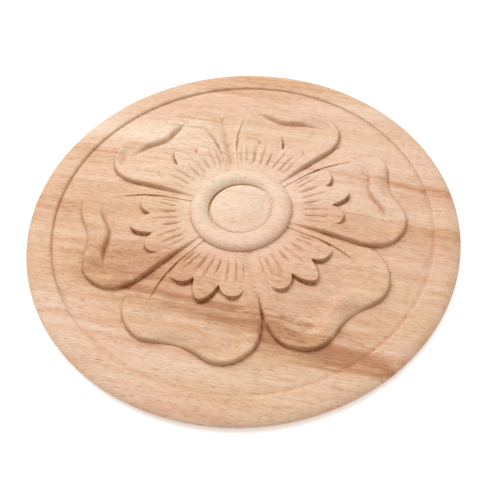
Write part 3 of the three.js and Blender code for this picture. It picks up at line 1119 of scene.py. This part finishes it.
@dataclass
class Shading:
    """Adds nodes to one material's tree and joins them."""

    material: bpy.types.Material

    def feed(self, target: bpy.types.NodeSocket, value: Feed) -> None:
        """Join a socket to a node's input, or set the input's value.

        Args:
            target: the input.
            value: a node's output, a number, a vector or a colour.
        """
        if isinstance(value, bpy.types.NodeSocket):
            self.material.node_tree.links.new(value, target)
        elif isinstance(value, tuple) and len(value) == 3 and target.type == "RGBA":
            target.default_value = (*value, 1.0)
        else:
            target.default_value = value

    def node(self, kind: str, **settings: object) -> bpy.types.Node:
        """Add a node and set its options.

        Args:
            kind: Blender's name for the node.
            settings: its options and their values.

        Returns:
            The new node.
        """
        made = self.material.node_tree.nodes.new(kind)
        for name, value in settings.items():
            setattr(made, name, value)
        return made

    def math(self, operation: str, *values: Feed) -> bpy.types.NodeSocket:
        """Add a Math node and return its result.

        Args:
            operation: Blender's name for the operation.
            values: what goes into it, in order.

        Returns:
            The node's output.
        """
        made = self.node("ShaderNodeMath", operation=operation)
        for target, value in zip(made.inputs, values):
            self.feed(target, value)
        return made.outputs[0]

    def sum(self, *values: Feed) -> bpy.types.NodeSocket:
        """Add values together.

        Args:
            values: numbers or outputs.

        Returns:
            Their sum.
        """
        total = values[0]
        for value in values[1:]:
            total = self.math("ADD", total, value)
        return total

    def vector(self, operation: str, *values: Feed) -> bpy.types.NodeSocket:
        """Add a Vector Math node and return its vector, or its value for a length.

        Args:
            operation: Blender's name for the operation.
            values: what goes into it, in order.

        Returns:
            The node's output.
        """
        made = self.node("ShaderNodeVectorMath", operation=operation)
        for target, value in zip(made.inputs, values):
            self.feed(target, value)
        return made.outputs["Value" if operation == "LENGTH" else "Vector"]

    def part(self, vector: Feed, axis: str) -> bpy.types.NodeSocket:
        """One axis of a vector.

        Args:
            vector: the vector to take it from.
            axis: X, Y or Z.

        Returns:
            That axis as a number.
        """
        made = self.node("ShaderNodeSeparateXYZ")
        self.feed(made.inputs["Vector"], vector)
        return made.outputs[axis]

    def placed(
        self, vector: Feed, place: Colour, turn: float, size: Colour
    ) -> bpy.types.NodeSocket:
        """Coordinates about a place, turned about Z and counted in units of a size.

        Args:
            vector: coordinates to start from.
            place: the new origin.
            turn: degrees about Z.
            size: length of each new unit.

        Returns:
            The new coordinates.
        """
        made = self.node("ShaderNodeMapping", vector_type="TEXTURE")
        self.feed(made.inputs["Vector"], vector)
        self.feed(made.inputs["Location"], place)
        self.feed(made.inputs["Rotation"], (0.0, 0.0, math.radians(turn)))
        self.feed(made.inputs["Scale"], size)
        return made.outputs["Vector"]

    def step(
        self, value: Feed, start: float, end: float, low: float = 0.0, high: float = 1.0
    ) -> bpy.types.NodeSocket:
        """Smooth step of a value from low at start to high at end.

        Args:
            value: the number to read.
            start: where the step begins.
            end: where it ends.
            low: the result before the step.
            high: the result after it.

        Returns:
            The step's height.
        """
        made = self.node("ShaderNodeMapRange", interpolation_type="SMOOTHSTEP")
        for name, setting in (
            ("Value", value), ("From Min", start), ("From Max", end),
            ("To Min", low), ("To Max", high),
        ):
            self.feed(made.inputs[name], setting)
        return made.outputs["Result"]

    def noise(self, vector: Feed, layer: Layer) -> bpy.types.NodeSocket:
        """Noise of one layer, about 0 and before its weight.

        Args:
            vector: coordinates in millimetres.
            layer: the layer's place, size and detail.

        Returns:
            The noise.
        """
        made = self.node("ShaderNodeTexNoise")
        self.feed(made.inputs["Vector"], self.placed(vector, layer.place, 0.0, layer.size))
        self.feed(made.inputs["Scale"], 1.0)
        self.feed(made.inputs["Detail"], layer.detail)
        self.feed(made.inputs["Roughness"], layer.roughness)
        return self.math("SUBTRACT", made.outputs["Fac"], 0.5)

    def weighed(self, noise: Feed, layer: Layer) -> bpy.types.NodeSocket:
        """A layer's noise times its weight."""
        return self.math("MULTIPLY", noise, layer.weight)

    def ramp(
        self, value: Feed, stops: tuple, interpolation: str = "LINEAR"
    ) -> bpy.types.NodeSocket:
        """Colour ramp with (place, colour) stops.

        Args:
            value: the place to read, from 0 to 1.
            stops: the places and their colours.
            interpolation: Blender's name for what lies between stops.

        Returns:
            The ramp's colour.
        """
        made = self.node("ShaderNodeValToRGB")
        ramp = made.color_ramp
        ramp.interpolation = interpolation
        while len(ramp.elements) < len(stops):
            ramp.elements.new(1.0)
        for element, (place, colour) in zip(ramp.elements, stops):
            element.position = place
            element.color = (*colour, 1.0)
        self.feed(made.inputs["Fac"], value)
        return made.outputs["Color"]

    def mix(
        self, share: Feed, first: Feed, second: Feed, mode: str = "MIX"
    ) -> bpy.types.NodeSocket:
        """Mix two colours.

        Args:
            share: how much of the second goes in.
            first: the colour to begin with.
            second: the colour to mix in.
            mode: Blender's name for the way they mix.

        Returns:
            The mixed colour.
        """
        made = self.node("ShaderNodeMix", data_type="RGBA", blend_type=mode)
        first_colour, second_colour = (
            socket for socket in made.inputs if socket.type == "RGBA")
        self.feed(made.inputs["Factor"], share)
        self.feed(first_colour, first)
        self.feed(second_colour, second)
        return next(socket for socket in made.outputs if socket.type == "RGBA")

    def darken(
        self, colour: Feed, mask: Feed, share: float, tint: Colour
    ) -> bpy.types.NodeSocket:
        """Multiply a colour by a tint, by up to a share where the mask is 1."""
        return self.mix(self.math("MULTIPLY", mask, share), colour, tint, "MULTIPLY")

    def tinted(self, colour: Feed, value: Feed, tint: Tint) -> bpy.types.NodeSocket:
        """Darken a colour by a tint where a value is high."""
        return self.darken(colour, self.step(value, tint.start, tint.end), tint.share, tint.colour)


@dataclass(frozen=True)
class Streak:
    """A soft patch of another tone, long with the grain and measured along and across it."""

    along: float
    across: float
    length: float
    width: float
    tone: float
    lean: float = 0.0


@dataclass(frozen=True)
class Strip:
    """One strip of the glued board: where it begins across the grain, and its tone."""

    start: float
    tone: float


@dataclass(frozen=True)
class Pores:
    """Short dark lines where the cut opens the wood's pores."""

    length: float
    width: float
    share: float
    depth: float


@dataclass(frozen=True)
class RubberwoodFinish:
    """Raw sanded pale wood with short dark pores, soft streaks and glued strips, and painted shade on
    its walls and in its cuts.

    A tone of -1 is the darkest wood, 0 lies between salmon and tan, and 1 is past the palest.
    """

    name: str = "raw_pale_wood"
    grain_angle: float = -21.5
    brown: Colour = (0.42, 0.185, 0.09)
    salmon: Colour = (0.59, 0.335, 0.195)
    tan: Colour = (0.69, 0.465, 0.325)
    cream: Colour = (0.78, 0.61, 0.49)
    tone_stops: tuple[float, float, float, float] = (0.0, 0.28, 0.52, 0.85)
    roughness: float = 0.6
    specular: float = 0.3

    # The layers of the grain, along, across and up
    drift: Layer = Layer((0.0, 0.0, 0.0), (70.0, 24.0, 24.0), 1.0, 4.0)
    waver: Layer = Layer((0.0, 0.0, 0.0), (22.0, 5.0, 5.0), 1.0, 0.9)
    broad: Layer = Layer((40.0, 0.0, 0.0), (120.0, 16.0, 16.0), 2.0, 0.9)
    bands: Layer = Layer((90.0, 7.0, 0.0), (60.0, 3.0, 3.0), 3.0, 0.75)
    fibre: Layer = Layer((0.0, 3.0, 9.0), (6.0, 0.45, 0.45), 3.0, 1.5, 0.65)
    lines: Layer = Layer((30.0, 2.0, 0.0), (90.0, 2.2, 2.2), 1.0)
    hue: Layer = Layer((5.0, 50.0, 0.0), (60.0, 22.0, 22.0), 1.0)

    # The strips of the board, and the streaks and the thinly lined patch in them
    strips: tuple[Strip, ...] = (
        Strip(-110.0, -0.08), Strip(-84.0, -0.03), Strip(-56.0, -0.15), Strip(-22.0, -0.20),
        Strip(8.0, 0.0), Strip(31.0, 0.18), Strip(56.0, 0.03), Strip(84.0, -0.14),
    )
    streaks: tuple[Streak, ...] = (
        Streak(45.0, -60.0, 62.0, 9.0, -0.75, -6.0), Streak(-42.0, -38.0, 42.0, 16.0, -0.42),
        Streak(-10.0, -47.0, 50.0, 8.0, -0.30, -5.0), Streak(-60.0, -12.0, 40.0, 8.0, -0.20),
        Streak(-8.0, 82.0, 46.0, 3.2, -0.40, -3.0), Streak(88.0, 30.0, 40.0, 3.0, -0.40, -5.0),
        Streak(12.0, 93.0, 60.0, 5.0, -0.25), Streak(-75.0, 44.0, 38.0, 9.0, 0.30),
        Streak(0.0, -3.0, 34.0, 30.0, 0.62), Streak(12.0, -62.0, 80.0, 15.0, -0.24),
        Streak(-30.0, 8.0, 44.0, 34.0, 0.22), Streak(-42.0, -62.0, 44.0, 15.0, -0.25),
        Streak(92.0, 22.0, 46.0, 30.0, -0.22), Streak(-84.0, 36.0, 26.0, 24.0, -0.22),
        Streak(0.0, 0.0, 18.0, 18.0, -0.16), Streak(56.0, -42.0, 60.0, 22.0, -0.12),
        Streak(-62.0, -66.0, 60.0, 14.0, 0.22),
    )
    streak_height: float = 5.0
    streak_depth: float = 60.0
    streak_edge: Span = (0.25, 1.15)
    streak_fray: float = 1.1
    lined: Streak = Streak(-48.0, 38.0, 60.0, 26.0, -0.38)
    lined_edge: Span = (0.7, 1.1)
    line_edge: Span = (0.06, 0.16)

    # Slow changes of hue between yellow and pink
    hue_edge: Span = (-0.12, 0.16)
    yellow_cast: Colour = (0.97, 1.0, 0.91)
    pink_cast: Colour = (1.0, 0.96, 0.98)
    cast_share: float = 0.5

    # Pores, glue lines, the walls' darker end grain with painted shade on them, and painted shade in
    # cuts
    pores: tuple[Pores, ...] = (
        Pores(5.0, 0.62, 0.75, 0.36), Pores(3.6, 0.5, 0.75, 0.32), Pores(8.0, 0.9, 0.40, 0.34),
    )
    pore_edge: Span = (0.14, 0.34)
    pore_spread: float = 0.25
    pore_colour: Colour = (0.45, 0.27, 0.16)
    glue_edge: Span = (0.12, 0.32)
    glue_share: float = 0.16
    glue_colour: Colour = (0.5, 0.3, 0.18)
    wall_end_grain_and_shade_tint: Tint = Tint(0.08, 0.6, 0.5, (0.82, 0.62, 0.40))
    cut_shade_tint: Tint = Tint(0.15, 1.25, 0.88, (0.50, 0.28, 0.12))

    # The fine relief that fibres and pores leave on a sanded face
    bump_strength: float = 0.5
    bump_distance: float = 0.08
    fibre_height: float = 0.5
    pore_height: float = 0.8

    def strip_tones(self, shading: Shading, across: Feed) -> bpy.types.NodeSocket:
        """Tone of the strip at each place across the grain.

        Args:
            shading: the material's nodes.
            across: millimetres across the grain.

        Returns:
            The tone, from -1 to 1.
        """
        low, high = self.strips[0].start, -self.strips[0].start
        share = shading.math("DIVIDE", shading.math("SUBTRACT", across, low), high - low)
        stops = tuple(
            ((strip.start - low) / (high - low), (0.5 + strip.tone / 2,) * 3)
            for strip in self.strips
        )
        return shading.math("MULTIPLY_ADD", shading.ramp(share, stops, "CONSTANT"), 2.0, -1.0)

    def glue_lines(self, shading: Shading, across: Feed) -> bpy.types.NodeSocket:
        """1 on the thin lines between strips and 0 elsewhere.

        Args:
            shading: the material's nodes.
            across: millimetres across the grain.

        Returns:
            The lines' mask.
        """
        line = None
        for strip in self.strips[1:]:
            gap = shading.math("ABSOLUTE", shading.math("SUBTRACT", across, strip.start))
            near = shading.step(gap, *self.glue_edge, 1.0, 0.0)
            line = near if line is None else shading.math("MAXIMUM", line, near)
        return line

    def pore_lines(self, shading: Shading, grain: Feed, pores: Pores) -> bpy.types.NodeSocket:
        """1 in the pores of one size and 0 elsewhere.

        Args:
            shading: the material's nodes.
            grain: millimetres along, across and up.
            pores: their size, and the share of places that have one.

        Returns:
            The pores' mask.
        """
        size = (pores.length, pores.width, pores.width)
        made = shading.node("ShaderNodeTexVoronoi", feature="F1")
        shading.feed(made.inputs["Vector"], shading.placed(grain, (0.0, 0.0, 0.0), 0.0, size))
        shading.feed(made.inputs["Scale"], 1.0)
        inside = shading.step(made.outputs["Distance"], *self.pore_edge, 1.0, 0.0)
        split = shading.node("ShaderNodeSeparateColor")
        shading.feed(split.inputs[0], made.outputs["Color"])
        bare = 1.0 - pores.share
        there = shading.step(split.outputs[0], bare, bare + self.pore_spread)
        return shading.math("MULTIPLY", inside, there)

    def patch_distance(
        self, shading: Shading, grain: Feed, streak: Streak
    ) -> bpy.types.NodeSocket:
        """Distance from the middle of a streak, where 1 is its edge."""
        return shading.vector("LENGTH", shading.placed(
            grain, (streak.along, streak.across, self.streak_height), streak.lean,
            (streak.length, streak.width, self.streak_depth)))

    def tones(
        self, shading: Shading, grain: Feed, across: Feed, fibre: Feed
    ) -> bpy.types.NodeSocket:
        """Tone of the wood from its strips, bands, fibres and streaks.

        Args:
            shading: the material's nodes.
            grain: millimetres along, across and up, with the grain's drift.
            across: millimetres across the board.
            fibre: noise of the fibres.

        Returns:
            The tone.
        """
        bands = shading.noise(grain, self.bands)
        tone = shading.sum(
            self.strip_tones(shading, across),
            shading.weighed(shading.noise(grain, self.broad), self.broad),
            shading.weighed(bands, self.bands), shading.weighed(fibre, self.fibre))
        for streak in self.streaks:
            distance = self.patch_distance(shading, grain, streak)
            frayed = shading.math("MULTIPLY_ADD", bands, self.streak_fray, distance)
            tone = shading.sum(tone, shading.step(frayed, *self.streak_edge, streak.tone, 0.0))
        lines = shading.step(shading.noise(grain, self.lines), *self.line_edge)
        distance = self.patch_distance(shading, grain, self.lined)
        patch = shading.step(distance, *self.lined_edge, self.lined.tone, 0.0)
        return shading.sum(tone, shading.math("MULTIPLY", lines, patch))

    def build(self) -> bpy.types.Material:
        """Make the material.

        Returns:
            The finished material.
        """
        material = bpy.data.materials.new(self.name)
        material.use_nodes = True
        shading = Shading(material)
        shader = material.node_tree.nodes["Principled BSDF"]
        place = shading.node("ShaderNodeTexCoord").outputs["Object"]
        straight = shading.placed(place, (0.0, 0.0, 0.0), self.grain_angle, (MM, MM, MM))
        offset = shading.node("ShaderNodeCombineXYZ")
        shading.feed(offset.inputs["Y"], shading.sum(
            shading.weighed(shading.noise(straight, self.drift), self.drift),
            shading.weighed(shading.noise(straight, self.waver), self.waver)))
        grain = shading.vector("ADD", straight, offset.outputs["Vector"])
        across = shading.part(straight, "Y")
        fibre = shading.noise(grain, self.fibre)

        tone = self.tones(shading, grain, across, fibre)
        colours = (self.brown, self.salmon, self.tan, self.cream)
        colour = shading.ramp(
            shading.math("MULTIPLY_ADD", tone, 0.5, 0.5), tuple(zip(self.tone_stops, colours)))
        pink = shading.step(shading.noise(grain, self.hue), *self.hue_edge)
        cast = shading.mix(pink, self.yellow_cast, self.pink_cast)
        colour = shading.mix(self.cast_share, colour, cast, "MULTIPLY")

        height = shading.math("MULTIPLY", fibre, self.fibre_height)
        for pores in self.pores:
            mask = self.pore_lines(shading, grain, pores)
            colour = shading.darken(colour, mask, pores.depth, self.pore_colour)
            height = shading.math("SUBTRACT", height, shading.math("MULTIPLY", mask, self.pore_height))
        glue = self.glue_lines(shading, across)
        colour = shading.darken(colour, glue, self.glue_share, self.glue_colour)
        # Painted shade: steep walls get the wall tint, which also stands for their darker end grain,
        # and sunken cuts get the cut tint
        for name, tint in (("steep", self.wall_end_grain_and_shade_tint), ("hollow", self.cut_shade_tint)):
            marked = shading.node("ShaderNodeAttribute", attribute_name=name).outputs["Fac"]
            colour = shading.tinted(colour, marked, tint)

        bump = shading.node("ShaderNodeBump")
        shading.feed(bump.inputs["Strength"], self.bump_strength)
        shading.feed(bump.inputs["Distance"], self.bump_distance * MM)
        shading.feed(bump.inputs["Height"], height)
        shading.feed(shader.inputs["Normal"], bump.outputs["Normal"])
        shading.feed(shader.inputs["Base Color"], colour)
        shading.feed(shader.inputs["Roughness"], self.roughness)
        shading.feed(shader.inputs["Specular IOR Level"], self.specular)
        return material


@dataclass(frozen=True)
class Lamp:
    """A soft square lamp that faces the rosette, in metres and watts."""

    name: str
    place: tuple[float, float, float]
    size: float
    power: float

    def build(self) -> bpy.types.Object:
        """Hang the lamp.

        Returns:
            The lamp.
        """
        data = bpy.data.lights.new(self.name, "AREA")
        data.shape = "SQUARE"
        data.size = self.size
        data.energy = self.power
        lamp = bpy.data.objects.new(self.name, data)
        bpy.context.collection.objects.link(lamp)
        lamp.location = self.place
        lamp.rotation_mode = "QUATERNION"
        lamp.rotation_quaternion = (-Vector(self.place)).to_track_quat("-Z", "Y")
        return lamp


@dataclass(frozen=True)
class Studio:
    """A plain pale floor, soft light from above and behind, and the photograph's camera."""

    distance: float = 295.8
    elevation: float = 52.29
    azimuth: float = -95.73
    aim: Span = (0.87, -18.6)
    roll: float = -3.44
    focal_pixels: float = 630.3
    picture_pixels: float = 500.0
    sensor: float = 36.0
    nearest_view: float = 10.0
    widest_height: float = Rim.edge_height
    floor_size: float = 6.0
    floor_colour: Colour = (0.93, 0.93, 0.93)
    floor_roughness: float = 0.9
    floor_glow: float = 0.3
    white: Colour = (1.0, 1.0, 1.0)
    room_light: float = 0.5
    lamps: tuple[Lamp, ...] = (
        Lamp("key", (-0.45, 0.7, 0.9), 0.8, 7.6),
        Lamp("top", (0.05, 0.2, 1.1), 0.8, 6.0),
    )

    def camera(self) -> bpy.types.Object:
        """Place the camera where the photograph was taken from.

        Returns:
            The camera.
        """
        data = bpy.data.cameras.new("camera")
        camera = bpy.data.objects.new("camera", data)
        bpy.context.collection.objects.link(camera)
        turn, lift = math.radians(self.azimuth), math.radians(self.elevation)
        place = Vector((
            math.cos(turn) * math.cos(lift), math.sin(turn) * math.cos(lift), math.sin(lift),
        )) * self.distance
        target = Vector((*self.aim, 0.0))
        view = (target - place).normalized()
        up = (Vector((0.0, 0.0, 1.0)) - view * view.z).normalized()
        right = view.cross(up)
        basis = Matrix((right, up, -view)).transposed()
        basis = basis @ Matrix.Rotation(math.radians(self.roll), 3, "Z")
        place.z += self.widest_height
        camera.matrix_world = Matrix.Translation(place * MM) @ basis.to_4x4()
        data.sensor_width = self.sensor
        data.lens = self.focal_pixels / self.picture_pixels * self.sensor
        data.clip_start = self.nearest_view * MM
        bpy.context.scene.camera = camera
        return camera

    def floor(self) -> bpy.types.Object:
        """Make the pale floor that the rosette lies on.

        Returns:
            The floor.
        """
        bpy.ops.object.select_all(action="DESELECT")
        bpy.ops.mesh.primitive_plane_add(size=self.floor_size, location=(0.0, 0.0, 0.0))
        floor = bpy.context.object
        floor.name = "floor"
        material = bpy.data.materials.new("pale_floor")
        material.use_nodes = True
        shader = material.node_tree.nodes["Principled BSDF"]
        shader.inputs["Base Color"].default_value = (*self.floor_colour, 1.0)
        shader.inputs["Roughness"].default_value = self.floor_roughness
        shader.inputs["Emission Color"].default_value = (*self.white, 1.0)
        shader.inputs["Emission Strength"].default_value = self.floor_glow
        floor.data.materials.append(material)
        return floor

    def light(self) -> None:
        """Set the room's even light and hang the lamps."""
        world = bpy.data.worlds.new("room")
        bpy.context.scene.world = world
        world.use_nodes = True
        back = world.node_tree.nodes["Background"]
        back.inputs["Color"].default_value = (*self.white, 1.0)
        back.inputs["Strength"].default_value = self.room_light
        for lamp in self.lamps:
            lamp.build()

    def build(self) -> None:
        """Make the floor, the light and the camera."""
        self.camera()
        self.floor()
        self.light()
        bpy.context.scene.view_settings.view_transform = "Standard"


def main() -> None:
    """Build the rosette and its studio, and report each piece."""
    logging.basicConfig(level=logging.INFO, format="%(name)s: %(message)s")
    low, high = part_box(CAD_NODE)
    radius = (high[0] - low[0]) / 2 / MM
    rosette = CarvedRosette(Rim(radius), Boss(high[2] / MM), Petal())
    piece = rosette.build()
    piece.data.materials.append(RubberwoodFinish().build())
    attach(piece, "root")
    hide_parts(CAD_NODE)
    triangles = sum(len(face.vertices) - 2 for face in piece.data.polygons)
    log.info("%s: %d points, %d triangles", piece.name, len(piece.data.vertices), triangles)
    Studio().build()
    log.info("studio: floor, %d lamps and camera", len(Studio.lamps))


if __name__ == "__main__":
    main()
